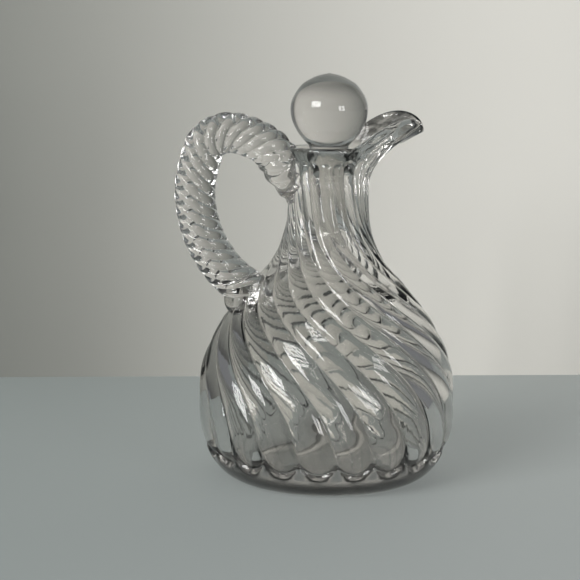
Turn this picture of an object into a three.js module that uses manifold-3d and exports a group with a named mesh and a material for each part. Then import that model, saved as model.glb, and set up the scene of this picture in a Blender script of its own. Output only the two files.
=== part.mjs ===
// Oil cruet: a pressed and blown glass bottle with swirled tongues and a pulled pouring lip,
// a twisted rope handle laid on while hot, and a solid ball stopper on a tapered shank.
// Millimetres, +Z up. The origin is the centre of the flat underside.
// The lip points along +X and the handle along -X.
import * as THREE from 'three';
import { mergeVertices } from 'three/addons/utils/BufferGeometryUtils.js';
import Module from 'manifold-3d';

const wasm = await Module();
wasm.setup();

// Bottle, outside
const FOOT_RADIUS = 31;
const BODY_RADIUS = 46.7;
const BODY_WIDEST_HEIGHT = 26.5;
const NECK_RADIUS = 14.6;
const NECK_HEIGHT = 101;
const RIM_RADIUS = 15.4;
const RIM_HEIGHT = 119;

// Share of the flare from neck to rim that is reached halfway up between them
const NECK_FLARE = 0.4;

// Shoulder between the widest ring and the neck: how far up, and how much of the
// difference between body and neck radius is left there
const SHOULDER = [
  [0.21, 0.95],
  [0.41, 0.735],
  [0.565, 0.46],
  [0.71, 0.17],
  [0.86, 0.03],
];

// Raised tongues on the outside, with a sharp groove between each two. They start
// under the rim, turn round the body and end in round tips above a plain band.
const TONGUE_COUNT = 21;
const TONGUE_RISE = 1.25;
const TONGUE_TIP_HEIGHT = 11.6;
const TONGUE_TOP_HEIGHT = 112;
const TONGUE_TURN = THREE.MathUtils.degToRad(-120.5);
const TONGUE_START = THREE.MathUtils.degToRad(5.8);
const GROOVE_SHOULDER = 0.35;

// Share of the whole turn that is done at even steps from the tips to the tops: the tongues
// stand nearly upright at both ends and turn fastest on the shoulder
const TONGUE_TURNED = [0, 0.068, 0.262, 0.59, 0.908, 1];

// Bottle, inside
const WALL = 3.6;
const FLOOR_THICKNESS = 4;
const BOWL_SQUARENESS = 3.2;
const SEAT_TOP_HEIGHT = 109.5;
const SEAT_BOTTOM_HEIGHT = 89;
const NECK_INSIDE_RADIUS = 12.5;
const NECK_INSIDE_HEIGHT = 79;

// Heights at which the hollow keeps the wall's thickness, as shares from the body's widest
// ring to the neck
const WALL_LINE_SHARES = [0.5, 0.3, 0.1];

// Mouth and pouring lip
const LIP_THICKNESS = 2.6;
const LIP_EDGE_RISE = LIP_THICKNESS / 3;
const LIP_ROOT_HEIGHT = 107;
const LIP_REACH = 34.9;
const LIP_TIP_HEIGHT = 125.2;
const LIP_HALF_ANGLE = THREE.MathUtils.degToRad(63);
const LIP_WIDENING = 0.3;
const LIP_ROLL = THREE.MathUtils.degToRad(14);

// How narrow the pulled part is, how high its side walls stand, how near the tip they are
// highest, and how fast the glass between lip and seat thickens
const LIP_NARROWING = 2.3;
const LIP_WALL_RISE = 6.8;
const LIP_WALL_PEAK = 1.1;
const LIP_INSIDE_CURVE = 2.4;

// Underside of the lip between neck and tip: two shares out and two shares up that bend it
const LIP_BEND_OUT = 0.58;
const LIP_BEND_LOW = 0.78;
const LIP_BEND_HIGH = 0.27;

// Stopper
const BALL_RADIUS = 13.9;
const BALL_WIDEST_HEIGHT = 133.3;
const BALL_TOP_HEIGHT = 146.1;
const BALL_UNDERSIDE_HEIGHT = 120.3;
const BALL_UNDERSIDE_RADIUS = 7.1;
const SHANK_END_HEIGHT = 83;
const SHANK_SEAT_RADIUS = 6.6;
const SHANK_TAPER = 0.05;
const RUNNING_GAP = 0.3;

// The ball's outline as shares of its radius out and of its height above and below the
// widest place, because it is a little pointed on top
const BALL_ABOVE = [[0, 1], [0.24, 0.95], [0.46, 0.855], [0.72, 0.67], [0.94, 0.31], [1, 0]];
const BALL_BELOW = [[0.94, 0.35], [0.77, 0.69]];

// Rope handle
const ROPE_RADIUS = 7.3;
const ROPE_STRANDS = 6;
const ROPE_STRAND_DEPTH = 0.8;
const ROPE_LEAD = 26.4;
const HANDLE_REACH = 48.3;
const HANDLE_TOP_HEIGHT = 125.1;
const HANDLE_UPPER_ROOT_HEIGHT = 110.5;
const HANDLE_LOWER_ROOT_HEIGHT = 70;
const UPPER_ROOT_SINK = 9;
const LOWER_ROOT_SINK = 5;
const PAD_HEIGHT = 9;
const TAIL_LENGTH = 11;
const JOINT_GAP = 0.3;

// The loop of the handle, from the neck to the shoulder: shares out from the bottle's wall to
// the full reach, and shares up from the nearer root (the first three) or the lower root
const LOOP_RISING = [[0.17, 0.56], [0.38, 0.86], [0.64, 1]];
const LOOP_FALLING = [[0.76, 0.945], [0.917, 0.81], [1, 0.635], [0.94, 0.45], [0.76, 0.27], [0.38, 0.08]];

// Half sizes of the pad and the tail outwards and sideways, and how far out their middles
// stand on the wall, all as shares of the rope's radius
const PAD_SHARES = { out: 1.05, side: 1.1, stand: 0.45, above: 0.1 };
const TAIL_SHARES = { out: 0.55, side: 0.75, stand: 0.25 };

// How finely the curved faces are divided
const POINTS_PER_TONGUE = 4;
const COLUMNS = TONGUE_COUNT * POINTS_PER_TONGUE;
const FOOT_ROWS = 9;
const WALL_ROWS = 21;
const LIP_ROWS = 6;
const CAVITY_ROWS = 8;
const BOWL_ROWS = 7;
const BALL_ROWS = 20;
const STOPPER_SIDES = 40;
const POINTS_PER_STRAND = 4;
const ROPE_STEP = 1.3;
const BLOB_SIDES = 20;
const BLOB_ROWS = 12;

const { clamp, lerp } = THREE.MathUtils;

const glass = (name) => new THREE.MeshStandardMaterial({
  name,
  color: 0xdfe3e0,
  roughness: 0.04,
  metalness: 0,
  transparent: true,
  opacity: 0.45,
});

// Outline of the bottle over the crowns of the tongues, as radius against height
const shoulderPoint = ([up, left]) => new THREE.Vector2(
  lerp(NECK_RADIUS, BODY_RADIUS, left),
  lerp(BODY_WIDEST_HEIGHT, NECK_HEIGHT, up),
);
const upperOutline = new THREE.SplineCurve([
  new THREE.Vector2(BODY_RADIUS, BODY_WIDEST_HEIGHT),
  ...SHOULDER.map(shoulderPoint),
  new THREE.Vector2(NECK_RADIUS, NECK_HEIGHT),
  new THREE.Vector2(lerp(NECK_RADIUS, RIM_RADIUS, NECK_FLARE), lerp(NECK_HEIGHT, RIM_HEIGHT, 0.5)),
  new THREE.Vector2(RIM_RADIUS, RIM_HEIGHT),
]);

function footRadius(height) {
  const down = 1 - clamp(height / BODY_WIDEST_HEIGHT, 0, 1);
  return FOOT_RADIUS + (BODY_RADIUS - FOOT_RADIUS) * Math.sqrt(1 - down * down);
}

// Radius of a curve that rises all the way, at one height, by halving
function radiusOn(curve, height) {
  let low = 0;
  let high = 1;
  for (let i = 0; i < 30; i += 1) {
    const middle = (low + high) / 2;
    if (curve.getPoint(middle).y < height) {
      low = middle;
    } else {
      high = middle;
    }
  }
  return curve.getPoint((low + high) / 2).x;
}

function outerRadius(height) {
  return height < BODY_WIDEST_HEIGHT ? footRadius(height) : radiusOn(upperOutline, height);
}

const turnedShare = new THREE.SplineCurve(TONGUE_TURNED.map((share) => new THREE.Vector2(0, share)));

function tongueAngle(height) {
  const span = TONGUE_TOP_HEIGHT - TONGUE_TIP_HEIGHT;
  const up = clamp((height - TONGUE_TIP_HEIGHT) / span, 0, 1);
  return TONGUE_START + TONGUE_TURN * turnedShare.getPoint(up).y;
}

// How far the surface lies under the crown's outline, at a place across a tongue,
// where 0 is its crown and 1 the groove. The groove also goes round both tips.
function grooveDepth(height, across) {
  const halfWidth = Math.PI * outerRadius(height) / TONGUE_COUNT;
  const pastTip = Math.max(0, TONGUE_TIP_HEIGHT + halfWidth - height) / halfWidth;
  const pastTop = Math.max(0, height - TONGUE_TOP_HEIGHT + halfWidth) / halfWidth;
  const fromCrown = Math.hypot(across, pastTip + pastTop);
  const deepest = TONGUE_RISE * outerRadius(height) / BODY_RADIUS;
  if (fromCrown < 1) {
    return deepest * fromCrown ** 2;
  }
  return deepest * Math.max(0, 1 - (fromCrown - 1) / GROOVE_SHOULDER) ** 2;
}

// One ring of the outside, column by column, grown outwards by a clearance
function outerRing(height, clearance) {
  return Array.from({ length: COLUMNS }, (_, column) => {
    const fromGroove = (column % POINTS_PER_TONGUE) / (POINTS_PER_TONGUE / 2);
    const across = Math.abs(1 - fromGroove);
    const angle = tongueAngle(height) + 2 * Math.PI * column / COLUMNS;
    const radius = outerRadius(height) - grooveDepth(height, across) + clearance;
    return new THREE.Vector3(radius * Math.cos(angle), radius * Math.sin(angle), height);
  });
}

const footHeight = (row) => BODY_WIDEST_HEIGHT * (1 - Math.cos(Math.PI * row / (2 * FOOT_ROWS)));
const wallHeight = (row) => lerp(BODY_WIDEST_HEIGHT, LIP_ROOT_HEIGHT, row / WALL_ROWS);

function outerHeights() {
  const heights = [];
  for (let row = 0; row < FOOT_ROWS; row += 1) {
    heights.push(footHeight(row));
  }
  for (let row = 0; row <= WALL_ROWS; row += 1) {
    heights.push(wallHeight(row));
  }
  return heights;
}

// Rings of equal length become one closed skin, shut at both ends by a middle point
function closedSkin(rings, firstMiddle, lastMiddle) {
  const columns = rings[0].length;
  const points = [firstMiddle, ...rings.flat(), lastMiddle];
  const index = [];
  const at = (row, column) => 1 + row * columns + (column % columns);
  for (let column = 0; column < columns; column += 1) {
    index.push(0, at(0, column + 1), at(0, column));
    for (let row = 0; row + 1 < rings.length; row += 1) {
      index.push(at(row, column), at(row, column + 1), at(row + 1, column + 1));
      index.push(at(row, column), at(row + 1, column + 1), at(row + 1, column));
    }
    index.push(at(rings.length - 1, column), at(rings.length - 1, column + 1), points.length - 1);
  }
  const geometry = new THREE.BufferGeometry().setFromPoints(points);
  geometry.setIndex(index);
  return geometry;
}

function toSolid(geometry) {
  const bare = geometry.clone();
  bare.deleteAttribute('normal');
  bare.deleteAttribute('uv');
  const merged = mergeVertices(bare, 1e-4);
  return new wasm.Manifold(new wasm.Mesh({
    numProp: 3,
    vertProperties: new Float32Array(merged.attributes.position.array),
    triVerts: new Uint32Array(merged.index.array),
  }));
}

function toGeometry(solid) {
  const mesh = solid.getMesh();
  const geometry = new THREE.BufferGeometry();
  geometry.setAttribute('position', new THREE.BufferAttribute(mesh.vertProperties, 3));
  geometry.setIndex(new THREE.BufferAttribute(mesh.triVerts, 1));
  geometry.computeVertexNormals();
  return geometry;
}

// Underside of the pouring lip, from the neck out to the tip
const lipUnderside = new THREE.CubicBezierCurve(
  new THREE.Vector2(outerRadius(LIP_ROOT_HEIGHT), LIP_ROOT_HEIGHT),
  new THREE.Vector2(RIM_RADIUS, lerp(LIP_ROOT_HEIGHT, RIM_HEIGHT, LIP_BEND_LOW)),
  new THREE.Vector2(
    lerp(RIM_RADIUS, LIP_REACH, LIP_BEND_OUT),
    lerp(RIM_HEIGHT, LIP_TIP_HEIGHT, LIP_BEND_HIGH),
  ),
  new THREE.Vector2(LIP_REACH, LIP_TIP_HEIGHT),
);

function lipShare(angle) {
  const wrapped = Math.atan2(Math.sin(angle), Math.cos(angle));
  const half = clamp(Math.abs(wrapped) / LIP_HALF_ANGLE, 0, 1);
  return Math.cos(half * Math.PI / 2) ** LIP_NARROWING;
}

// Outside of the mouth: a round rim of which one side is pulled out into the lip
function mouthPoint(angle, up) {
  const height = lerp(LIP_ROOT_HEIGHT, RIM_HEIGHT, up);
  const radius = outerRadius(height);
  const pull = lipShare(angle);
  const tip = lipUnderside.getPoint(up);
  const wall = Math.sqrt(Math.max(0, Math.sin(Math.PI * pull ** LIP_WALL_PEAK)));
  const rise = LIP_WALL_RISE * wall * up * up;
  const y = radius * Math.sin(angle) * (1 + LIP_WIDENING * pull * up);
  return new THREE.Vector3(
    radius * Math.cos(angle) + pull * (tip.x - radius),
    y,
    height + pull * (tip.y - height) + rise + y * Math.tan(LIP_ROLL) * Math.sqrt(pull) * up,
  );
}

function mouthNormal(angle, up) {
  const step = 0.001;
  const below = Math.min(up, 1 - step);
  const along = mouthPoint(angle + step, below).sub(mouthPoint(angle - step, below));
  const rising = mouthPoint(angle, below + step).sub(mouthPoint(angle, below));
  return along.cross(rising).normalize();
}

const mouthAngle = (column) => tongueAngle(RIM_HEIGHT) + 2 * Math.PI * column / COLUMNS;

function mouthRing(up, inwards, raised) {
  return Array.from({ length: COLUMNS }, (_, column) => {
    const angle = mouthAngle(column);
    const point = mouthPoint(angle, up);
    point.addScaledVector(mouthNormal(angle, up), -inwards);
    point.z += raised;
    return point;
  });
}

function plainRing(radius, height) {
  return Array.from({ length: COLUMNS }, (_, column) => {
    const angle = mouthAngle(column);
    return new THREE.Vector3(radius * Math.cos(angle), radius * Math.sin(angle), height);
  });
}

const shankRadius = (height) => SHANK_SEAT_RADIUS + SHANK_TAPER * (height - SEAT_TOP_HEIGHT);
const boreRadius = (height) => shankRadius(height) + RUNNING_GAP;

// Inside of the bottle from the seat's foot down to the middle of the floor
function cavityOutline() {
  const wallPoint = (height) => new THREE.Vector2(outerRadius(height) - WALL, height);
  const shoulderHeights = WALL_LINE_SHARES.map((up) => lerp(BODY_WIDEST_HEIGHT, NECK_HEIGHT, up));
  const upper = new THREE.SplineCurve([
    new THREE.Vector2(boreRadius(SEAT_BOTTOM_HEIGHT), SEAT_BOTTOM_HEIGHT),
    new THREE.Vector2(NECK_INSIDE_RADIUS, NECK_INSIDE_HEIGHT),
    ...shoulderHeights.map(wallPoint),
    wallPoint(BODY_WIDEST_HEIGHT),
  ]);
  const outline = upper.getPoints(CAVITY_ROWS);
  for (let row = 1; row < BOWL_ROWS; row += 1) {
    const turn = Math.PI * row / (2 * BOWL_ROWS);
    const power = 2 / BOWL_SQUARENESS;
    outline.push(new THREE.Vector2(
      (BODY_RADIUS - WALL) * Math.cos(turn) ** power,
      lerp(BODY_WIDEST_HEIGHT, FLOOR_THICKNESS, Math.sin(turn) ** power),
    ));
  }
  return outline;
}

function bottleSkin() {
  const rings = outerHeights().map((height) => outerRing(height, 0));
  for (let row = 1; row <= LIP_ROWS; row += 1) {
    rings.push(mouthRing(row / LIP_ROWS, 0, 0));
  }
  rings.push(mouthRing(1, LIP_THICKNESS / 2, LIP_EDGE_RISE));
  const seatUp = (SEAT_TOP_HEIGHT - LIP_ROOT_HEIGHT) / (RIM_HEIGHT - LIP_ROOT_HEIGHT);
  const seatWall = outerRadius(SEAT_TOP_HEIGHT) - boreRadius(SEAT_TOP_HEIGHT);
  for (let row = 0; row < LIP_ROWS; row += 1) {
    const down = row / LIP_ROWS;
    const up = lerp(1, seatUp, down);
    rings.push(mouthRing(up, lerp(LIP_THICKNESS, seatWall, down ** LIP_INSIDE_CURVE), 0));
  }
  rings.push(plainRing(boreRadius(SEAT_TOP_HEIGHT), SEAT_TOP_HEIGHT));
  cavityOutline().forEach((point) => rings.push(plainRing(point.x, point.y)));
  return closedSkin(rings, new THREE.Vector3(0, 0, 0), new THREE.Vector3(0, 0, FLOOR_THICKNESS));
}

function stopperSkin() {
  const ballPoint = ([out, share], end) => new THREE.Vector2(
    BALL_RADIUS * out,
    lerp(BALL_WIDEST_HEIGHT, end, share),
  );
  const ball = new THREE.SplineCurve([
    ...BALL_ABOVE.map((place) => ballPoint(place, BALL_TOP_HEIGHT)),
    ...BALL_BELOW.map((place) => ballPoint(place, BALL_UNDERSIDE_HEIGHT)),
    new THREE.Vector2(BALL_UNDERSIDE_RADIUS, BALL_UNDERSIDE_HEIGHT),
  ]);
  const outline = ball.getPoints(BALL_ROWS);
  outline.push(new THREE.Vector2(shankRadius(SEAT_TOP_HEIGHT), SEAT_TOP_HEIGHT));
  outline.push(new THREE.Vector2(shankRadius(SHANK_END_HEIGHT), SHANK_END_HEIGHT));
  outline.push(new THREE.Vector2(0, SHANK_END_HEIGHT));
  const lathe = new THREE.LatheGeometry(outline.reverse(), STOPPER_SIDES);
  lathe.rotateX(Math.PI / 2);
  return lathe;
}

const group = new THREE.Group();

function addPiece(name, geometry) {
  const mesh = new THREE.Mesh(geometry, glass(name));
  mesh.name = name;
  group.add(mesh);
}

// Centre line of the rope, out of the neck, over the top and down to the shoulder
function handleCurve() {
  const upperOut = outerRadius(HANDLE_UPPER_ROOT_HEIGHT);
  const lowerOut = outerRadius(HANDLE_LOWER_ROOT_HEIGHT);
  const rising = LOOP_RISING.map(([out, up]) => [
    lerp(upperOut, HANDLE_REACH, out),
    lerp(HANDLE_UPPER_ROOT_HEIGHT, HANDLE_TOP_HEIGHT, up),
  ]);
  const falling = LOOP_FALLING.map(([out, up]) => [
    lerp(lowerOut, HANDLE_REACH, out),
    lerp(HANDLE_LOWER_ROOT_HEIGHT, HANDLE_TOP_HEIGHT, up),
  ]);
  const points = [
    [upperOut - UPPER_ROOT_SINK, HANDLE_UPPER_ROOT_HEIGHT - UPPER_ROOT_SINK],
    [upperOut, HANDLE_UPPER_ROOT_HEIGHT],
    ...rising,
    ...falling,
    [lowerOut - LOWER_ROOT_SINK, HANDLE_LOWER_ROOT_HEIGHT - LOWER_ROOT_SINK],
  ];
  return new THREE.CatmullRomCurve3(points.map(([out, up]) => new THREE.Vector3(-out, 0, up)));
}

// The rope's section is a ring of round strands with sharp valleys between them
function ropeSkin() {
  const curve = handleCurve();
  const length = curve.getLength();
  const steps = Math.round(length / ROPE_STEP);
  const columns = ROPE_STRANDS * POINTS_PER_STRAND;
  const side = new THREE.Vector3(0, 1, 0);
  const rings = [];
  for (let step = 0; step <= steps; step += 1) {
    const share = step / steps;
    const centre = curve.getPointAt(share);
    const across = new THREE.Vector3().crossVectors(side, curve.getTangentAt(share)).normalize();
    const turn = -2 * Math.PI * share * length / ROPE_LEAD;
    rings.push(Array.from({ length: columns }, (_, column) => {
      const around = 2 * Math.PI * column / columns;
      const valley = 1 - Math.abs(Math.cos(ROPE_STRANDS * around / 2));
      const radius = ROPE_RADIUS - ROPE_STRAND_DEPTH * valley;
      return centre.clone()
        .addScaledVector(side, radius * Math.sin(around + turn))
        .addScaledVector(across, radius * Math.cos(around + turn));
    }));
  }
  return closedSkin(rings, curve.getPointAt(0), curve.getPointAt(1));
}

// The handle's foot: a pressed pad on the shoulder with a short tail drawn down the body
function footBlob(height, halfHeight, shares) {
  const blob = new THREE.SphereGeometry(1, BLOB_SIDES, BLOB_ROWS);
  blob.scale(ROPE_RADIUS * shares.out, ROPE_RADIUS * shares.side, halfHeight);
  blob.translate(-outerRadius(height) - ROPE_RADIUS * shares.stand, 0, height);
  return toSolid(blob);
}

function handleGeometry() {
  const padHeight = HANDLE_LOWER_ROOT_HEIGHT + ROPE_RADIUS * PAD_SHARES.above;
  const tailHeight = HANDLE_LOWER_ROOT_HEIGHT - PAD_HEIGHT / 2;
  const pad = footBlob(padHeight, PAD_HEIGHT / 2, PAD_SHARES);
  const tail = footBlob(tailHeight, TAIL_LENGTH / 2, TAIL_SHARES);
  const rings = outerHeights().map((height) => outerRing(height, JOINT_GAP));
  for (let row = 1; row <= LIP_ROWS; row += 1) {
    const height = lerp(LIP_ROOT_HEIGHT, RIM_HEIGHT, row / LIP_ROWS);
    rings.push(plainRing(outerRadius(height) + JOINT_GAP, height));
  }
  const top = RIM_HEIGHT + LIP_EDGE_RISE + JOINT_GAP;
  rings.push(plainRing(RIM_RADIUS + JOINT_GAP, top));
  const cleared = toSolid(closedSkin(rings, new THREE.Vector3(0, 0, 0), new THREE.Vector3(0, 0, top)));
  const solid = toSolid(ropeSkin())
    .add(pad)
    .add(tail)
    .subtract(cleared);
  return toGeometry(solid);
}

addPiece('bottle', bottleSkin());
addPiece('handle', handleGeometry());
addPiece('stopper', stopperSkin());

export default group;
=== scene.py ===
# %% [markdown]
# An old oil cruet of clear pressed glass. It has three pieces: the bottle with its swirled
# tongues and pulled lip, a rope handle that was laid on hot, and a solid ball stopper.
# All three are see-through, so what shows is how their surfaces bend the light. That is why
# every piece here is a fine closed skin computed from a few sizes, and why both faces of a
# wall are real geometry and not a painted effect.

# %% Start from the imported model
import math
import bpy
import numpy as np
from mathutils import Matrix, Vector


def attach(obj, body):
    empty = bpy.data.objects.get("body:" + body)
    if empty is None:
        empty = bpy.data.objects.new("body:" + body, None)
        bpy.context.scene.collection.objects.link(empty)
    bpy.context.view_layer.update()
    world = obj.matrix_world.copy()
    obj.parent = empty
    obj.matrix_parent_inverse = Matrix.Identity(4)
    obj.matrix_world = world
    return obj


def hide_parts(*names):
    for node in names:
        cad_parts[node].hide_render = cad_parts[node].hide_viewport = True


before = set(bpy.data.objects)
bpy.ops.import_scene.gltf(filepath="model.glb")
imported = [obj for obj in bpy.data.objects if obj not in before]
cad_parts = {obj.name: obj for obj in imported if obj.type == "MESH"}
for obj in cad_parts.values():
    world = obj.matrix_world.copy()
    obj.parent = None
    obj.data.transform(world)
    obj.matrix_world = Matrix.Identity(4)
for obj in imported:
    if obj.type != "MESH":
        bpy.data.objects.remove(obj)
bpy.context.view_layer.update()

MM = 0.001

# %% [markdown]
# The outline of the bottle is the first thing to fix. A maker would draw it on paper as one
# line from foot to rim. Here it is a smooth curve through a few points over the crowns of the
# tongues, with a quarter of an ellipse for the foot, because a mould's foot has no corner.

# %% Outline of the bottle
FOOT_RADIUS, BODY_RADIUS, BODY_WIDEST = 31.0, 46.7, 26.5
NECK_RADIUS, NECK_HEIGHT = 14.6, 101.0
RIM_RADIUS, RIM_HEIGHT = 15.4, 119.0
SHOULDER = ((0.21, 0.95), (0.41, 0.735), (0.565, 0.46), (0.71, 0.17), (0.86, 0.03))
FLARE_OUT, FLARE_UP = 0.4, 0.5
OUTLINE_SAMPLES = 3000


def between(low, high, share):
    return low + (high - low) * share


def smooth_curve(points, shares):
    """Points along a smooth curve through the given ones, at shares from 0 to 1."""
    points = np.array(points, float)
    last = len(points) - 1
    place = np.asarray(shares, float) * last
    start = np.clip(np.floor(place).astype(int), 0, last - 1)
    w = (place - start)[:, None]
    here, there = points[start], points[start + 1]
    before = points[np.where(start > 0, start - 1, start)]
    after = points[np.where(start < last - 1, start + 2, start + 1)]
    slope_here, slope_there = (there - before) / 2, (after - here) / 2
    cubic = 2 * here - 2 * there + slope_here + slope_there
    square = 3 * there - 3 * here - 2 * slope_here - slope_there
    return cubic * w ** 3 + square * w ** 2 + slope_here * w + here


upper_points = [(BODY_RADIUS, BODY_WIDEST)]
for up, left in SHOULDER:
    height = between(BODY_WIDEST, NECK_HEIGHT, up)
    upper_points.append((between(NECK_RADIUS, BODY_RADIUS, left), height))
upper_points.append((NECK_RADIUS, NECK_HEIGHT))
flare_radius = between(NECK_RADIUS, RIM_RADIUS, FLARE_OUT)
upper_points.append((flare_radius, between(NECK_HEIGHT, RIM_HEIGHT, FLARE_UP)))
upper_points.append((RIM_RADIUS, RIM_HEIGHT))
upper_line = smooth_curve(upper_points, np.linspace(0, 1, OUTLINE_SAMPLES))


def crown_radius(height):
    """Radius over the crowns of the tongues at a height, both in mm."""
    height = np.asarray(height, float)
    down = 1 - np.clip(height / BODY_WIDEST, 0, 1)
    foot = FOOT_RADIUS + (BODY_RADIUS - FOOT_RADIUS) * np.sqrt(1 - down * down)
    upper = np.interp(height, upper_line[:, 1], upper_line[:, 0])
    return np.where(height < BODY_WIDEST, foot, upper)


measured = [round(float(crown_radius(h)), 1) for h in (0, BODY_WIDEST, NECK_HEIGHT)]
print("radius at foot, belly, neck", measured)

# %% [markdown]
# Twenty-one raised tongues cover the outside, with a sharp groove between each two. They
# could be separate ribs joined to a plain body, but glass has no such joints. So the radius
# itself is lowered by how far a place is from the crown of its tongue. The same distance
# also runs round both tips, and this gives each tongue its round end and the groove there.
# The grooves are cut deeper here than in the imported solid, and they end 2 mm lower and 3 mm
# higher. That is relief on the surface only, and it is this scene's own.

# %% Tongues and grooves
TONGUES, TONGUE_RISE = 21, 2.1
TIP_HEIGHT, TOP_HEIGHT = 11.6, 112.0
GROOVE_END_HEIGHT, ARCH_HEIGHT, GROOVE_SHOULDER = 9.6, 115.0, 0.35
TONGUE_TURN, TONGUE_START = math.radians(-120.5), math.radians(5.8)
TONGUE_TURNED = [[0], [0.068], [0.262], [0.59], [0.908], [1]]
TURN_SAMPLES = 2000
PER_TONGUE = 22
COLUMNS = TONGUES * PER_TONGUE
column = np.arange(COLUMNS)
turn_round = 2 * np.pi * column / COLUMNS
across = np.abs(1 - (column % PER_TONGUE) / (PER_TONGUE / 2))
even_shares = np.linspace(0, 1, TURN_SAMPLES)
turned_share = smooth_curve(TONGUE_TURNED, even_shares)[:, 0]


def tongue_angle(height):
    up = (height - TIP_HEIGHT) / (TOP_HEIGHT - TIP_HEIGHT)
    return TONGUE_START + TONGUE_TURN * np.interp(up, even_shares, turned_share)


def groove_depth(height):
    """How far each column lies under the crowns at one height."""
    radius = float(crown_radius(height))
    half_width = math.pi * radius / TONGUES
    past_tip = max(0.0, GROOVE_END_HEIGHT + half_width - height) / half_width
    past_top = max(0.0, height - ARCH_HEIGHT + half_width) / half_width
    from_crown = np.hypot(across, past_tip + past_top)
    outside = np.clip(1 - (from_crown - 1) / GROOVE_SHOULDER, 0, 1) ** 2
    deepest = TONGUE_RISE * radius / BODY_RADIUS
    return deepest * np.where(from_crown < 1, from_crown ** 2, outside)


def ring(radius, angle, height):
    height = np.broadcast_to(np.asarray(height, float), np.shape(angle))
    return np.stack([radius * np.cos(angle), radius * np.sin(angle), height], axis=1)


def outer_ring(height, lowered=0.0):
    radius = crown_radius(height) - groove_depth(height) - lowered
    return ring(radius, tongue_angle(height) + turn_round, height)


def steps(start, stop, size):
    return np.linspace(start, stop, max(2, round(abs(stop - start) / size)), endpoint=False)


LIP_ROOT = 107.0
FOOT_TOP, FOOT_ROWS = 9.5, 14
TIPS_TOP, TIPS_STEP, BODY_STEP = 20, 0.4, 0.8
foot_turn = np.linspace(0, math.acos(1 - FOOT_TOP / BODY_WIDEST), FOOT_ROWS, endpoint=False)
foot_heights = BODY_WIDEST * (1 - np.cos(foot_turn))
tips_heights = steps(FOOT_TOP, TIPS_TOP, TIPS_STEP)
body_heights = steps(TIPS_TOP, LIP_ROOT, BODY_STEP)
outer_heights = np.concatenate([foot_heights, tips_heights, body_heights, [LIP_ROOT]])
print("rows on the outside", len(outer_heights), "columns", COLUMNS)

# %% [markdown]
# The mouth is a plain round rim of which one side was pulled out with a tool while hot. It
# could be bent with a lattice. Instead each point of the rim is moved towards the lip's own
# outline by its share of the pull, which keeps the edge round. The glass gathers a little at
# the tip and runs in faint streaks towards it, so the wall is thickened there.

# %% Mouth and pouring lip
LIP_THICKNESS, LIP_REACH, LIP_TIP_HEIGHT = 2.6, 34.9, 125.2
LIP_WALL_RISE, LIP_WALL_PEAK, LIP_WIDENING, LIP_NARROWING = 6.8, 1.1, 0.3, 2.3
LIP_HALF_ANGLE, LIP_ROLL = math.radians(63), math.radians(14)
LIP_TIP_THICKENING, LIP_STREAKS, STREAK_COUNT = 0.3, 0.12, 16
LIP_INSIDE_CURVE, RIM_INSIDE_CURVE = 2.4, 0.8
LIP_STRAIGHT_UP, LIP_SWEEP_OUT, LIP_SWEEP_UP = 0.78, 0.58, 0.27
NUDGE = 0.001
lip_line = np.array([
    (float(crown_radius(LIP_ROOT)), LIP_ROOT),
    (RIM_RADIUS, between(LIP_ROOT, RIM_HEIGHT, LIP_STRAIGHT_UP)),
    (between(RIM_RADIUS, LIP_REACH, LIP_SWEEP_OUT), between(RIM_HEIGHT, LIP_TIP_HEIGHT, LIP_SWEEP_UP)),
    (LIP_REACH, LIP_TIP_HEIGHT),
])
mouth_angle = float(tongue_angle(RIM_HEIGHT)) + turn_round


def lip_underside(up):
    rest = 1 - up
    weights = np.array([rest ** 3, 3 * rest ** 2 * up, 3 * rest * up ** 2, up ** 3])
    return weights @ lip_line


def from_lip(angle):
    """The angle away from the middle of the lip, on either side."""
    return np.abs(np.arctan2(np.sin(angle), np.cos(angle)))


def share_from_lip(angle):
    """0 at the middle of the lip, 1 where the plain round rim begins."""
    return np.clip(from_lip(angle) / LIP_HALF_ANGLE, 0, 1)


def mouth_points(angle, up):
    height = between(LIP_ROOT, RIM_HEIGHT, up)
    radius = float(crown_radius(height))
    pull = np.cos(share_from_lip(angle) * np.pi / 2) ** LIP_NARROWING
    out, tip_height = lip_underside(up)
    hump = np.sqrt(np.maximum(0, np.sin(np.pi * pull ** LIP_WALL_PEAK)))
    rise = LIP_WALL_RISE * hump * up ** 2
    y = radius * np.sin(angle) * (1 + LIP_WIDENING * pull * up)
    x = radius * np.cos(angle) + pull * (out - radius)
    roll = y * math.tan(LIP_ROLL) * np.sqrt(pull) * up
    return np.stack([x, y, height + pull * (tip_height - height) + rise + roll], axis=1)


def mouth_ring(up, inwards, raised=0.0):
    """The mouth at one share of its height, set inwards from the outer face, in mm."""
    below = min(up, 1 - NUDGE)
    along = mouth_points(mouth_angle + NUDGE, below) - mouth_points(mouth_angle - NUDGE, below)
    rising = mouth_points(mouth_angle, below + NUDGE) - mouth_points(mouth_angle, below)
    normal = np.cross(along, rising)
    normal /= np.linalg.norm(normal, axis=1)[:, None]
    near_lip = 1 - share_from_lip(mouth_angle)
    thicker = 1 + LIP_TIP_THICKENING * near_lip * up
    streaks = LIP_STREAKS * np.cos(STREAK_COUNT * from_lip(mouth_angle)) * near_lip * up
    inwards = inwards * (thicker + streaks)
    points = mouth_points(mouth_angle, up) - normal * np.reshape(inwards, (-1, 1))
    points[:, 2] += raised * thicker
    return points


print("lip reaches", round(float(mouth_points(np.zeros(1), 1.0)[0, 0]), 1), "mm out")

# %% [markdown]
# Inside, the neck has a ground taper for the stopper, and below it the blown hollow opens
# into a bowl with a rounded bottom. The hollow could be cut out with a boolean. One closed skin
# that turns over the rim and runs down the inside needs no cut, and has no seam for the
# light to catch on.

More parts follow.
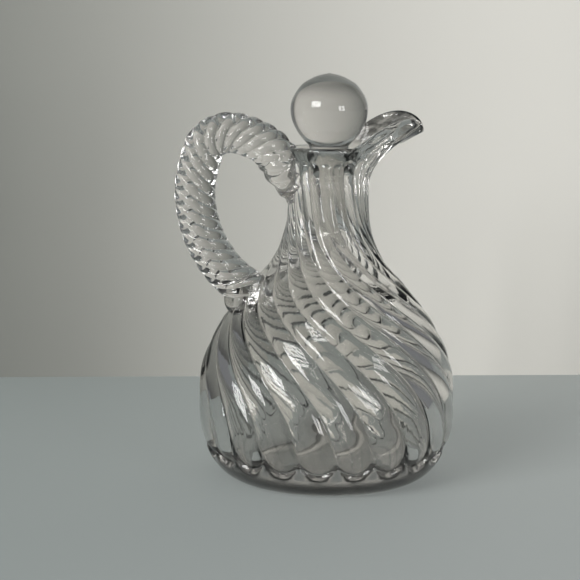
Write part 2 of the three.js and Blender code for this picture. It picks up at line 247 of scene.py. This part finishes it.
# %% Bottle skin
WALL, FLOOR_THICKNESS, BOWL_SQUARENESS = 3.6, 4.0, 3.2
SEAT_TOP, SEAT_BOTTOM = 109.5, 89.0
NECK_INSIDE_RADIUS, NECK_INSIDE_HEIGHT = 12.5, 79.0
SHANK_SEAT_RADIUS, SHANK_TAPER = 6.6, 0.05
SEAT_PLAY, SEAT_STEP = 0.12, 2
SEAT_FLARE_OUT, SEAT_FLARE_DOWN = 1.3, 3
SHOULDER_INSIDE = np.array([0.5, 0.3, 0.1, 0])
NECK_ROWS, BOWL_ROWS = 60, 26
LIP_ROWS, EDGE_ROWS = 26, 7


def shank_radius(height):
    return SHANK_SEAT_RADIUS + SHANK_TAPER * (height - SEAT_TOP)


def bore_radius(height):
    return shank_radius(height) + SEAT_PLAY


def closed_skin(name, rings, first_middle, last_middle):
    """A closed mesh object through rings of equal length, in mm, shut by a point at each end."""
    count, rows = len(rings[0]), len(rings)
    points = np.vstack([[first_middle]] + list(rings) + [[last_middle]]) * MM
    here = np.arange(count)
    after = (here + 1) % count
    faces = [(0, int(b) + 1, int(a) + 1) for a, b in zip(here, after)]
    for row in range(rows - 1):
        low = 1 + row * count
        quads = np.stack([low + here, low + after, low + count + after, low + count + here], axis=1)
        faces += [tuple(quad) for quad in quads.tolist()]
    low, end = 1 + (rows - 1) * count, len(points) - 1
    faces += [(low + int(a), low + int(b), end) for a, b in zip(here, after)]
    mesh = bpy.data.meshes.new(name)
    mesh.from_pydata(points.tolist(), [], faces)
    mesh.shade_smooth()
    made = bpy.data.objects.new(name, mesh)
    bpy.context.scene.collection.objects.link(made)
    return made


def cavity_line():
    """Radius and height down the inside, from the end of the seat to the floor."""
    shoulder = between(BODY_WIDEST, NECK_HEIGHT, SHOULDER_INSIDE)
    wall = [(float(crown_radius(h)) - WALL, h) for h in shoulder]
    seat_radius = bore_radius(SEAT_BOTTOM)
    flare = (seat_radius + SEAT_FLARE_OUT, SEAT_BOTTOM - SEAT_FLARE_DOWN)
    upper = [(seat_radius, SEAT_BOTTOM), flare, (NECK_INSIDE_RADIUS, NECK_INSIDE_HEIGHT)] + wall
    line = list(smooth_curve(upper, np.linspace(0, 1, NECK_ROWS)))
    turn = np.linspace(0, np.pi / 2, BOWL_ROWS)[1:-1]
    power = 2 / BOWL_SQUARENESS
    out = (BODY_RADIUS - WALL) * np.cos(turn) ** power
    return line + list(zip(out, between(BODY_WIDEST, FLOOR_THICKNESS, np.sin(turn) ** power)))


rings = [outer_ring(h) for h in outer_heights]
for row in range(1, LIP_ROWS + 1):
    up = row / LIP_ROWS
    rings.append(mouth_ring(up, groove_depth(between(LIP_ROOT, RIM_HEIGHT, up))))
for turn in np.linspace(0, np.pi, EDGE_ROWS)[1:-1]:
    inwards, raised = LIP_THICKNESS / 2 * (1 - math.cos(turn)), LIP_THICKNESS / 3 * math.sin(turn)
    rings.append(mouth_ring(1, inwards, raised))
seat_up = (SEAT_TOP - LIP_ROOT) / (RIM_HEIGHT - LIP_ROOT)
seat_wall = float(crown_radius(SEAT_TOP)) - bore_radius(SEAT_TOP)
inside_curve = between(LIP_INSIDE_CURVE, RIM_INSIDE_CURVE, share_from_lip(mouth_angle))
for down in np.linspace(0, 1, LIP_ROWS, endpoint=False):
    inwards = between(LIP_THICKNESS, seat_wall, down ** inside_curve)
    rings.append(mouth_ring(between(1, seat_up, down), inwards))
for height in steps(SEAT_TOP, SEAT_BOTTOM, SEAT_STEP):
    rings.append(ring(bore_radius(height), mouth_angle, height))
for radius, height in cavity_line():
    rings.append(ring(radius, mouth_angle, height))
bottle = closed_skin("tongued_bottle", rings, (0, 0, 0), (0, 0, FLOOR_THICKNESS))
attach(bottle, "root")
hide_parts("bottle")
print("bottle", len(bottle.data.polygons), "faces")

# %% [markdown]
# The stopper is one solid drop of glass: a ball with a slightly pointed top, where the glass
# was pulled off, and a ground shank that tapers. It could be a sphere and a cone joined, but the
# ball is not quite round, so its outline is turned like work on a lathe.

# %% Ball stopper
BALL_RADIUS, BALL_WIDEST, BALL_TOP, BALL_UNDERSIDE = 13.9, 133.3, 146.1, 120.3
BALL_UNDERSIDE_RADIUS, SHANK_END = 7.1, 83.0
STOPPER_SIDES, BALL_ROWS = 112, 72
SHANK_STEP, SHANK_EDGE, SHANK_EDGE_ROWS = 1.5, 1.2, 6
BELOW_BALL = 0.6
BALL_ABOVE = ((0.0, 1.0), (0.24, 0.95), (0.46, 0.855), (0.72, 0.67), (0.94, 0.31), (1.0, 0.0))
BALL_BELOW = ((0.94, 0.35), (0.77, 0.69))
ball = [(BALL_RADIUS * out, between(BALL_WIDEST, BALL_TOP, up)) for out, up in BALL_ABOVE]
ball += [(BALL_RADIUS * out, between(BALL_WIDEST, BALL_UNDERSIDE, down)) for out, down in BALL_BELOW]
ball.append((BALL_UNDERSIDE_RADIUS, BALL_UNDERSIDE))
outline = list(smooth_curve(ball, np.linspace(0, 1, BALL_ROWS)))[1:]
for height in steps(BALL_UNDERSIDE - BELOW_BALL, SHANK_END + SHANK_EDGE, SHANK_STEP):
    outline.append((min(shank_radius(height), BALL_UNDERSIDE_RADIUS), height))
for turn in np.linspace(0, np.pi / 2, SHANK_EDGE_ROWS):
    radius = shank_radius(SHANK_END) - SHANK_EDGE * (1 - math.cos(turn))
    outline.append((radius, SHANK_END + SHANK_EDGE * (1 - math.sin(turn))))
around = 2 * np.pi * np.arange(STOPPER_SIDES) / STOPPER_SIDES
turned = [ring(radius, around, height) for radius, height in reversed(outline)]
stopper = closed_skin("ball_stopper", turned, (0, 0, SHANK_END), (0, 0, BALL_TOP))
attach(stopper, "stopper")
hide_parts("stopper")
print("stopper", len(stopper.data.polygons), "faces")

# %% [markdown]
# The handle is a rod of six strands, twisted hot and laid on in a loop. Six tubes wound round
# each other would leave gaps that the melted glass does not have. One tube whose section is a
# ring of six round strands, turned as it goes along the loop, has the closed valleys of the
# real rope. Near the neck the strands have run together and the glass is dented by the tool.
# The valleys also fade on the inner side of the loop and on its far side.

# %% Rope handle
ROPE_RADIUS, ROPE_STRANDS, STRAND_DEPTH, ROPE_LEAD = 7.3, 6, 2.0, 27.6
ROPE_INNER_FADE, ROPE_FAR_FADE, ROOT_DENT = 0.85, 0.78, 0.8
HANDLE_REACH, HANDLE_TOP, UPPER_ROOT, LOWER_ROOT = 48.3, 125.1, 110.5, 70.0
UPPER_SINK, LOWER_SINK = 9.0, 5.0
LOOP_RISING = ((0.17, 0.56), (0.38, 0.86), (0.64, 1.0))
LOOP_FALLING = ((0.76, 0.945), (0.917, 0.81), (1.0, 0.635), (0.94, 0.45), (0.76, 0.27), (0.38, 0.08))
LOOP_SAMPLES, ROPE_STEP, LOOK_AHEAD = 4000, 0.35, 0.3
PER_STRAND, VALLEY_SHARPNESS = 18, 1.4
INNER_FROM, INNER_GROWTH = 0.2, 0.8
FAR_FROM, FAR_GROWTH = 0.3, 1.5
STRANDS_OPEN = ((18, 44), (0.4, 1.0))
WORKED = ((4, 9, 17, 26), (0.3, 1, 0.8, 0))
DENT_ROUND, DENT_SLANT, DENT_LENGTH = 3, 1.9, 1.3
upper_out, lower_out = float(crown_radius(UPPER_ROOT)), float(crown_radius(LOWER_ROOT))
loop = [(upper_out - UPPER_SINK, UPPER_ROOT - UPPER_SINK), (upper_out, UPPER_ROOT)]
for out, up in LOOP_RISING:
    loop.append((between(upper_out, HANDLE_REACH, out), between(UPPER_ROOT, HANDLE_TOP, up)))
for out, up in LOOP_FALLING:
    loop.append((between(lower_out, HANDLE_REACH, out), between(LOWER_ROOT, HANDLE_TOP, up)))
loop.append((lower_out - LOWER_SINK, LOWER_ROOT - LOWER_SINK))
loop_line = smooth_curve(loop, np.linspace(0, 1, LOOP_SAMPLES))
gone = np.concatenate([[0], np.cumsum(np.hypot(*np.diff(loop_line, axis=0).T))])
loop_length = float(gone[-1])


def loop_point(distance):
    """Place on the loop, out and up, after a distance along it."""
    return np.array([np.interp(distance, gone, loop_line[:, k]) for k in (0, 1)])


strand_round = 2 * np.pi * np.arange(ROPE_STRANDS * PER_STRAND) / (ROPE_STRANDS * PER_STRAND)
valley = (1 - np.abs(np.cos(ROPE_STRANDS * strand_round / 2))) ** VALLEY_SHARPNESS
sideways = np.array([0.0, 1.0, 0.0])
rope_rings = []
for distance in np.linspace(0, loop_length, round(loop_length / ROPE_STEP)):
    out, up = loop_point(distance)
    next_point = loop_point(min(distance + LOOK_AHEAD, loop_length))
    ahead = next_point - loop_point(max(distance - LOOK_AHEAD, 0))
    ahead /= np.linalg.norm(ahead)
    crosswise = np.cross(sideways, np.array([-ahead[0], 0, ahead[1]]))
    twist = strand_round - 2 * np.pi * distance / ROPE_LEAD
    inner = np.clip(INNER_FROM - INNER_GROWTH * np.cos(twist), 0, 1)
    far_side = np.clip(FAR_FROM + FAR_GROWTH * np.sin(twist), 0, 1)
    depth = STRAND_DEPTH * np.interp(distance, *STRANDS_OPEN)
    depth = depth * (1 - ROPE_INNER_FADE * inner) * (1 - ROPE_FAR_FADE * far_side)
    worked = np.interp(distance, *WORKED)
    slanting = np.cos(DENT_ROUND * twist + distance / DENT_SLANT)
    dents = ROOT_DENT * worked * slanting * np.cos(distance / DENT_LENGTH - twist)
    radius = ROPE_RADIUS - depth * valley + dents
    middle = np.array([-out, 0, up])
    to_side, to_loop = radius * np.sin(twist), radius * np.cos(twist)
    rope_rings.append(middle + np.outer(to_side, sideways) + np.outer(to_loop, crosswise))
first, last = loop_line[0], loop_line[-1]
handle = closed_skin("rope_handle", rope_rings, (-first[0], 0, first[1]), (-last[0], 0, last[1]))
print("rope", round(loop_length), "mm long,", round(loop_length / ROPE_LEAD, 1), "turns")

# %% [markdown]
# At the foot of the handle the hot end was pressed into a pad and drawn down into a short
# tail. These are blobs of glass joined to the rope. Then all of it is trimmed to the bottle's
# surface, a hair inside it, so that light passes from one to the other as through one lump.

# %% Handle foot and trim
PAD_HEIGHT, TAIL_LENGTH, MELT = 9.0, 11.0, 0.15
PAD_SIZES = (ROPE_RADIUS * 1.15, ROPE_RADIUS * 1.1, PAD_HEIGHT / 2)
TAIL_SIZES = (ROPE_RADIUS * 0.55, ROPE_RADIUS * 0.75, TAIL_LENGTH / 2)
PAD_UP, PAD_OUT, TAIL_OUT = ROPE_RADIUS * 0.1, ROPE_RADIUS * 0.45, ROPE_RADIUS * 0.25
PAD_DROP, PAD_FLATTENED = 2.4, 0.35
BLOB_SIDES, BLOB_ROWS = 48, 26
CORE_FROM, CORE_PAST_RIM, CORE_ROWS = 30, 0.6, 24


def blob(name, out, height, sizes, below=1.0):
    """A rounded lump whose lower half is flattened to a share of its height."""
    round_it = 2 * np.pi * np.arange(BLOB_SIDES) / BLOB_SIDES
    slices = []
    for turn in np.linspace(0, np.pi, BLOB_ROWS)[1:-1]:
        x = -out + sizes[0] * math.sin(turn) * np.cos(round_it)
        y = sizes[1] * math.sin(turn) * np.sin(round_it)
        down = sizes[2] * math.cos(turn) * (below if turn < np.pi / 2 else 1)
        slices.append(np.stack([x, y, np.full(BLOB_SIDES, height - down)], axis=1))
    bottom, top = (-out, 0, height - sizes[2] * below), (-out, 0, height + sizes[2])
    return closed_skin(name, slices, bottom, top)


def join_or_cut(piece, other, operation):
    change = piece.modifiers.new(other.name, "BOOLEAN")
    change.operation, change.object, change.solver = operation, other, "MANIFOLD"


pad_height, tail_height = LOWER_ROOT + PAD_UP, LOWER_ROOT - PAD_HEIGHT / 2
pad_out = float(crown_radius(pad_height)) + PAD_OUT
tail_out = float(crown_radius(tail_height)) + TAIL_OUT
pad = blob("foot_pad", pad_out, pad_height - PAD_DROP, PAD_SIZES, PAD_FLATTENED)
tail = blob("foot_tail", tail_out, tail_height, TAIL_SIZES)
core_rings = [outer_ring(h, MELT) for h in outer_heights if h > CORE_FROM]
core_top = RIM_HEIGHT + CORE_PAST_RIM
for height in np.linspace(LIP_ROOT + CORE_PAST_RIM, core_top, CORE_ROWS):
    core_rings.append(ring(crown_radius(height) - groove_depth(height) - MELT, mouth_angle, height))
core_bottom = float(core_rings[0][0, 2])
core = closed_skin("bottle_core", core_rings, (0, 0, core_bottom), (0, 0, core_top))
for other, operation in ((pad, "UNION"), (tail, "UNION"), (core, "DIFFERENCE")):
    join_or_cut(handle, other, operation)
depsgraph = bpy.context.evaluated_depsgraph_get()
trimmed = bpy.data.meshes.new_from_object(handle.evaluated_get(depsgraph))
trimmed.materials.clear()
handle.modifiers.clear()
handle.data = trimmed
trimmed.shade_smooth()
for other in (pad, tail, core):
    bpy.data.objects.remove(other)
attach(handle, "root")
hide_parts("handle")
print("handle", len(handle.data.polygons), "faces")

# %% [markdown]
# Shader arithmetic reads best as arithmetic. This small class holds one socket, and its
# operators add the Math nodes. Every other node comes from one method that is told the
# node's type, its settings and what goes into its sockets.

# %% Shader helper


class Wire:
    """One output socket of a node tree."""

    def __init__(self, tree, socket):
        self.tree, self.socket = tree, socket

    def math(self, operation, *values):
        return Paint(self.tree).node("ShaderNodeMath", {"operation": operation}, values)

    def __add__(self, other):
        return self.math("ADD", self, other)

    def __mul__(self, other):
        return self.math("MULTIPLY", self, other)

    def __rsub__(self, other):
        return self.math("SUBTRACT", other, self)

    __radd__, __rmul__ = __add__, __mul__


class Paint:
    """Adds nodes to one tree."""

    def __init__(self, tree):
        self.tree = tree

    def node(self, kind, settings=None, inputs=(), output=0):
        made = self.tree.nodes.new(kind)
        for name, value in (settings or {}).items():
            setattr(made, name, value)
        pairs = inputs.items() if isinstance(inputs, dict) else enumerate(inputs)
        for key, value in pairs:
            if isinstance(value, Wire):
                self.tree.links.new(value.socket, made.inputs[key])
            else:
                made.inputs[key].default_value = value
        return Wire(self.tree, made.outputs[output])

    def band(self, value, low, high):
        """A soft step from 0 to 1 as the value goes from low to high."""
        settings = {"interpolation_type": "SMOOTHSTEP"}
        return self.node("ShaderNodeMapRange", settings, {0: value, 1: low, 2: high})

    def mix_colours(self, share, first, second):
        """A mix of two colours or colour wires, the first one where the share is 0."""
        first, second = [c if isinstance(c, Wire) else (*c, 1) for c in (first, second)]
        return self.node("ShaderNodeMix", {"data_type": "RGBA"}, {0: share, 6: first, 7: second}, 2)

    def noise(self, vector, scale, detail):
        return self.node("ShaderNodeTexNoise", inputs={"Vector": vector, "Scale": scale, "Detail": detail})

    def coordinate(self, vector, axis):
        """One coordinate of a vector, with 0, 1 and 2 for x, y and z."""
        return self.node("ShaderNodeSeparateXYZ", inputs=[vector], output=axis)

    def feed(self, shader, wires):
        for name, wire in wires.items():
            self.tree.links.new(wire.socket, shader.inputs[name])


def new_material(name):
    made = bpy.data.materials.new(name)
    made.use_nodes = True
    shader = made.node_tree.nodes["Principled BSDF"]
    return made, Paint(made.node_tree), shader


print("shader helper ready")

# %% [markdown]
# Old pressed glass is clear with a faint grey tone, and where it is thick it shows a breath
# of pink. Its skin is not flat: the mould and the fire leave slow ripples and small pits that
# break a highlight into sparks. The stopper's shank is ground, so it is dull. Position on the
# piece drives all of this, so the marks stay put when the stopper is lifted.
#
# Two darker tints are painted shade and not how glass works: one on the far wall of the lip and one on the
# crest of the ball. They stand in for dark reflections of the room seen in the glass, which this plain
# room doesn't give. Those places are dark in the photograph, perhaps from the room seen in the glass, and
# this plain room doesn't darken them. The tints were chosen for the front view, and from other sides those
# places are too dark.

# %% Glass materials
GLASS_IOR = 1.5
CLEAR, PINKISH = (0.815, 0.81, 0.79), (0.8, 0.765, 0.75)
ROPE_CLEAR = (0.74, 0.735, 0.72)
BALL_CLEAR, SHANK_CLEAR, SHANK_TO_BALL = (0.7, 0.695, 0.68), (0.9, 0.895, 0.885), (112, 121)
GROUND_FROM, GROUND_TO, GROUND_EDGE, GROUND_DULLNESS = 84.0, 108.0, 0.3, 0.22
# painted shade on the far wall of the lip and on the crest of the ball
LIP_PAINTED_SHADE, CREST_SHADE = (0.12, 0.12, 0.118), (0.22, 0.22, 0.215)
LIP_SHADE_OUT, LIP_SHADE_UP, LIP_SHADE_ACROSS = (9, 15), (118, 121), (0.5, 2.5)
UNDERSIDE, UNDERSIDE_DULLNESS, SMEAR_DULLNESS = (1.2, 0.6), 0.2, 0.03
CLOUD_SCALE, SMEAR_SCALE, SHADE_STREAK_SCALE = 45.0, 160.0, 420.0
WAVE_SCALE, PIT_SCALE, PIT_STRETCH = 260.0, 1100.0, (1.0, 1.0, 0.3)
SHADE_STREAK_TURN, SHADE_STREAK_STRETCH = (0.0, -0.6, 0.0), (0.25, 1.0, 1.0)
SHADE_STREAK_BAND, SMEAR_BAND = (0.4, 0.6), (0.45, 0.8)
PINK_CLOUDS, PINK_ABOVE_FOOT, FOOT_CLOUDS, FOOT_PINK = 0.35, 0.4, 0.9, 0.3
BUMP_REACH = 0.001


# Painted shade: the far wall of the lip is darkened in streaks, standing in for dark reflections.
def lip_painted_shade(paint, place, height, tint):
    out, across = paint.coordinate(place, 0) * 1000, paint.coordinate(place, 1) * 1000
    drawn_out = paint.node("ShaderNodeMapping", inputs={0: place, 2: SHADE_STREAK_TURN, 3: SHADE_STREAK_STRETCH})
    streaks = paint.band(paint.noise(drawn_out, SHADE_STREAK_SCALE, 2.0), *SHADE_STREAK_BAND)
    far_wall_shade = paint.band(out, *LIP_SHADE_OUT) * paint.band(height, *LIP_SHADE_UP)
    far_wall_shade = far_wall_shade * paint.band(across, *LIP_SHADE_ACROSS)
    return paint.mix_colours(far_wall_shade * (0.5 + 0.5 * streaks), tint, LIP_PAINTED_SHADE)


def glass(name, clear=CLEAR, shank=None, pink_below=None, lip=False, crest=None, ripple=0.02, pits=0.014):
    """Clear glass. Heights are in mm; shank is the colour of a ground shank under a ball."""
    made, paint, shader = new_material(name)
    place = paint.node("ShaderNodeTexCoord", output=3)
    height = paint.coordinate(place, 2) * 1000
    cloud = paint.noise(place, CLOUD_SCALE, 2.0)
    pink = cloud * PINK_CLOUDS
    if pink_below:
        at_foot = 1 - paint.band(height, *pink_below)
        pink = pink * PINK_ABOVE_FOOT + at_foot * (cloud * FOOT_CLOUDS + FOOT_PINK)
    tint = paint.mix_colours(pink, clear, PINKISH)
    if shank:
        tint = paint.mix_colours(paint.band(height, *SHANK_TO_BALL), shank, tint)
    # painted shade on the crest of the ball
    if crest:
        tint = paint.mix_colours(paint.band(height, *crest), tint, CREST_SHADE)
    # painted shade on the far wall of the lip
    if lip:
        tint = lip_painted_shade(paint, place, height, tint)
    smears = paint.band(paint.noise(place, SMEAR_SCALE, 4.0), *SMEAR_BAND)
    dull = smears * SMEAR_DULLNESS + paint.band(height, *UNDERSIDE) * UNDERSIDE_DULLNESS
    if shank:
        rising = paint.band(height, GROUND_FROM - GROUND_EDGE, GROUND_FROM)
        inside = rising * (1 - paint.band(height, GROUND_TO, GROUND_TO + GROUND_EDGE))
        dull = dull + inside * GROUND_DULLNESS
    drawn = paint.node("ShaderNodeMapping", inputs={0: place, 3: PIT_STRETCH})
    relief = paint.noise(place, WAVE_SCALE, 1.0) * ripple + paint.noise(drawn, PIT_SCALE, 2.0) * pits
    bump = paint.node("ShaderNodeBump", inputs={"Strength": 1.0, "Distance": BUMP_REACH, "Height": relief})
    paint.feed(shader, {"Base Color": tint, "Roughness": dull, "Normal": bump})
    shader.inputs["Transmission Weight"].default_value = 1.0
    shader.inputs["IOR"].default_value = GLASS_IOR
    return made


smooth = {"ripple": 0.006, "pits": 0.001}
bottle.data.materials.append(glass("bottle_pressed_glass", pink_below=(4.0, 16.0), lip=True))
handle.data.materials.append(glass("rope_drawn_glass", ROPE_CLEAR, **smooth))
ball_glass = glass("stopper_glass_ground_shank", BALL_CLEAR, SHANK_CLEAR, crest=(136.5, 142.5), **smooth)
stopper.data.materials.append(ball_glass)
print("materials", [m.name for m in bpy.data.materials][-3:])

# %% [markdown]
# The camera stands where the photograph seems to have been taken from: a little higher than
# the stopper, some 60 cm away, and turned so that the lip points to the right and slightly
# away. That place was estimated by a fit to the photograph, and here it is worked out
# from one point on the axis whose place in the frame is known, so that the framing follows
# from a few numbers.

# %% Camera
FRAME_SIDE, SENSOR = 580.0, 36.0
FOCAL_PIXELS, DISTANCE = 1690.0, 618.8
PITCH, ROLL, AZIMUTH = math.radians(8.4), math.radians(0.43), math.radians(-11)
AIM_HEIGHT, AIM_RIGHT, AIM_DOWN = 27.3, 36.1, 110.0
to_world = Matrix.Rotation(AZIMUTH, 3, "Z")
forward = Vector((0, math.cos(PITCH), -math.sin(PITCH)))
level, up = Vector((1, 0, 0)), Vector((0, math.sin(PITCH), math.cos(PITCH)))
right = level * math.cos(ROLL) + up * math.sin(ROLL)
upright = up * math.cos(ROLL) - level * math.sin(ROLL)
offset = (right * AIM_RIGHT - upright * AIM_DOWN) / FOCAL_PIXELS * DISTANCE
spot = (Vector((0, 0, AIM_HEIGHT)) - forward * DISTANCE - offset) * MM
axes = [to_world @ v for v in (right, upright, -forward)]
camera_data = bpy.data.cameras.new("camera")
camera_data.sensor_width = SENSOR
camera_data.lens = SENSOR * FOCAL_PIXELS / FRAME_SIDE
camera_data.clip_start = 0.01
camera = bpy.data.objects.new("camera", camera_data)
turned_axes = Matrix(axes).transposed()
camera.matrix_world = Matrix.Translation(to_world @ spot) @ turned_axes.to_4x4()
bpy.context.scene.collection.objects.link(camera)
bpy.context.scene.camera = camera
print("camera lens", round(camera_data.lens, 1), "mm, at", [round(v, 3) for v in camera.location])

# %% [markdown]
# Clear glass shows its surroundings, so the stage is part of its look: a pale bluish table
# top, and a warm grey wall close behind it. The fall-off of the light is painted on both as
# painted shade: the table is darker to the left, and the wall darker to the left and darkest
# at both ends. The wall has a face on its front only, so that the piece can be seen from behind too.

# %% Table and wall
WALL_BEHIND, WALL_TURN, WALL_MIDDLE = 182.0, math.radians(3.4), 240
WALL_HALF_WIDTH, WALL_HALF_HEIGHT = 330, 260
TABLE_DROP, TABLE_MIDDLE, TABLE_HALF_WIDTH, TABLE_HALF_DEPTH = 0.1, -900, 1600, 1200
TABLE_PAINTED_FALLOFF = ((0.209, 0.231, 0.223), (0.261, 0.279, 0.271))
WALL_PAINTED_FALLOFF, WALL_ENDS_PAINTED_SHADE = ((0.21, 0.214, 0.194), (0.65, 0.633, 0.585)), (0.05, 0.05, 0.048)
LEFT_SHADED_END, RIGHT_SHADED_END = (-320, -130), (340, 190)
PAINT_DULLNESS, PAINT_SHEEN = 0.7, 0.2


def stage_plane(name, centre, half_right, half_up):
    """A flat stage piece, given in mm in the camera's directions."""
    centre, half_right, half_up = Vector(centre), Vector(half_right), Vector(half_up)
    corners = [centre - half_right - half_up, centre + half_right - half_up,
               centre + half_right + half_up, centre - half_right + half_up]
    mesh = bpy.data.meshes.new(name)
    mesh.from_pydata([to_world @ (c * MM) for c in corners], [], [(0, 1, 2, 3)])
    made = bpy.data.objects.new(name, mesh)
    bpy.context.scene.collection.objects.link(made)
    return made


def graded(name, left, right, start, stop, one_sided=False, ends=None):
    """Matt paint that goes from one colour to another from left to right, in mm, as painted light
    fall-off, with painted shade at both ends if asked.
    """
    made, paint, shader = new_material(name)
    place = paint.node("ShaderNodeTexCoord", output=3)
    turned = paint.node("ShaderNodeMapping", inputs={0: place, 2: (0, 0, -AZIMUTH)})
    along = paint.coordinate(turned, 0)
    # painted light fall-off from the left colour to the right one
    colour = paint.mix_colours(paint.band(along, start * MM, stop * MM), left, right)
    # painted shade: both ends darken
    if ends:
        inwards = [paint.band(along, outer * MM, inner * MM) for outer, inner in (LEFT_SHADED_END, RIGHT_SHADED_END)]
        colour = paint.mix_colours(inwards[0] * inwards[1], ends, colour)
    paint.feed(shader, {"Base Color": colour})
    shader.inputs["Roughness"].default_value = PAINT_DULLNESS
    shader.inputs["Specular IOR Level"].default_value = PAINT_SHEEN
    if one_sided:
        behind = paint.node("ShaderNodeNewGeometry", output=6)
        clear = paint.node("ShaderNodeBsdfTransparent")
        front = Wire(made.node_tree, shader.outputs[0])
        mixed = paint.node("ShaderNodeMixShader", inputs=[behind, front, clear])
        paint.feed(made.node_tree.nodes["Material Output"], {"Surface": mixed})
    return made


table_middle = (0, TABLE_MIDDLE, -TABLE_DROP)
table = stage_plane("table_top", table_middle, (TABLE_HALF_WIDTH, 0, 0), (0, TABLE_HALF_DEPTH, 0))
# painted light fall-off: the table is darker to the left
table.data.materials.append(graded("table_paint", *TABLE_PAINTED_FALLOFF, start=-170, stop=140))
along_wall = Vector((math.cos(WALL_TURN), math.sin(WALL_TURN), 0)) * WALL_HALF_WIDTH
wall = stage_plane("back_wall", (0, WALL_BEHIND, WALL_MIDDLE), along_wall, (0, 0, WALL_HALF_HEIGHT))
# painted light fall-off, darker to the left, and painted shade at both ends of the wall
wall_paint = graded("wall_paint", *WALL_PAINTED_FALLOFF, start=-190, stop=120, one_sided=True, ends=WALL_ENDS_PAINTED_SHADE)
wall.data.materials.append(wall_paint)
print("stage pieces", table.name, wall.name)

# %% [markdown]
# The light is a large soft window of five panes to the left of the camera and a smaller one of
# two panes to the right. The rest of the room is dim and even, which gives the glass its dark
# edges. Real glass also throws light onto the table under it. A path tracer finds little of
# that, so a lamp overhead that casts no shadow stands in for it. It is hidden from the glass,
# which would otherwise show it as a third window.

# %% Lamps and room
LAMPS_AIM = Vector((0, 0, 0.07))
ROOM_COLOUR, ROOM_STRENGTH = (0.92, 0.95, 1.0, 1), 0.2
BOUNCES = 24


def soft_window(name, azimuth, elevation, distance, width, height, power, panes=1, share=1.0):
    """A lamp seen from the piece in the given direction, made of equal panes side by side."""
    side, rise = math.radians(azimuth), math.radians(elevation)
    towards = Vector((math.sin(side) * math.cos(rise), -math.cos(side) * math.cos(rise), math.sin(rise)))
    middle = to_world @ (towards * distance)
    turned = (LAMPS_AIM - middle).to_track_quat("-Z", "Y").to_euler()
    sideways = turned.to_matrix() @ Vector((width / panes, 0, 0))
    for pane in range(panes):
        data = bpy.data.lights.new(name, "AREA")
        data.shape, data.energy = "RECTANGLE", power / panes
        data.size, data.size_y = width / panes * share, height
        lamp = bpy.data.objects.new(name, data)
        lamp.location = middle + sideways * (pane - (panes - 1) / 2)
        lamp.rotation_euler = turned
        bpy.context.scene.collection.objects.link(lamp)
    return lamp


soft_window("left_window", azimuth=-42, elevation=26, distance=2.2,
            width=1.1, height=1.0, power=36, panes=5, share=0.6)
soft_window("right_window", azimuth=36, elevation=8, distance=2.6,
            width=0.9, height=0.9, power=16, panes=2, share=0.7)
fill = soft_window("table_fill", azimuth=0, elevation=80, distance=1.8, width=1.6, height=1.6, power=27)
fill.data.use_shadow = False
fill.visible_glossy = fill.visible_transmission = False
room = bpy.data.worlds.new("room")
room.use_nodes = True
background = room.node_tree.nodes["Background"]
background.inputs["Color"].default_value = ROOM_COLOUR
background.inputs["Strength"].default_value = ROOM_STRENGTH
scene = bpy.context.scene
scene.world = room
scene.view_settings.view_transform = "Standard"
scene.cycles.max_bounces = scene.cycles.transmission_bounces = BOUNCES
scene.cycles.sample_clamp_indirect = 0
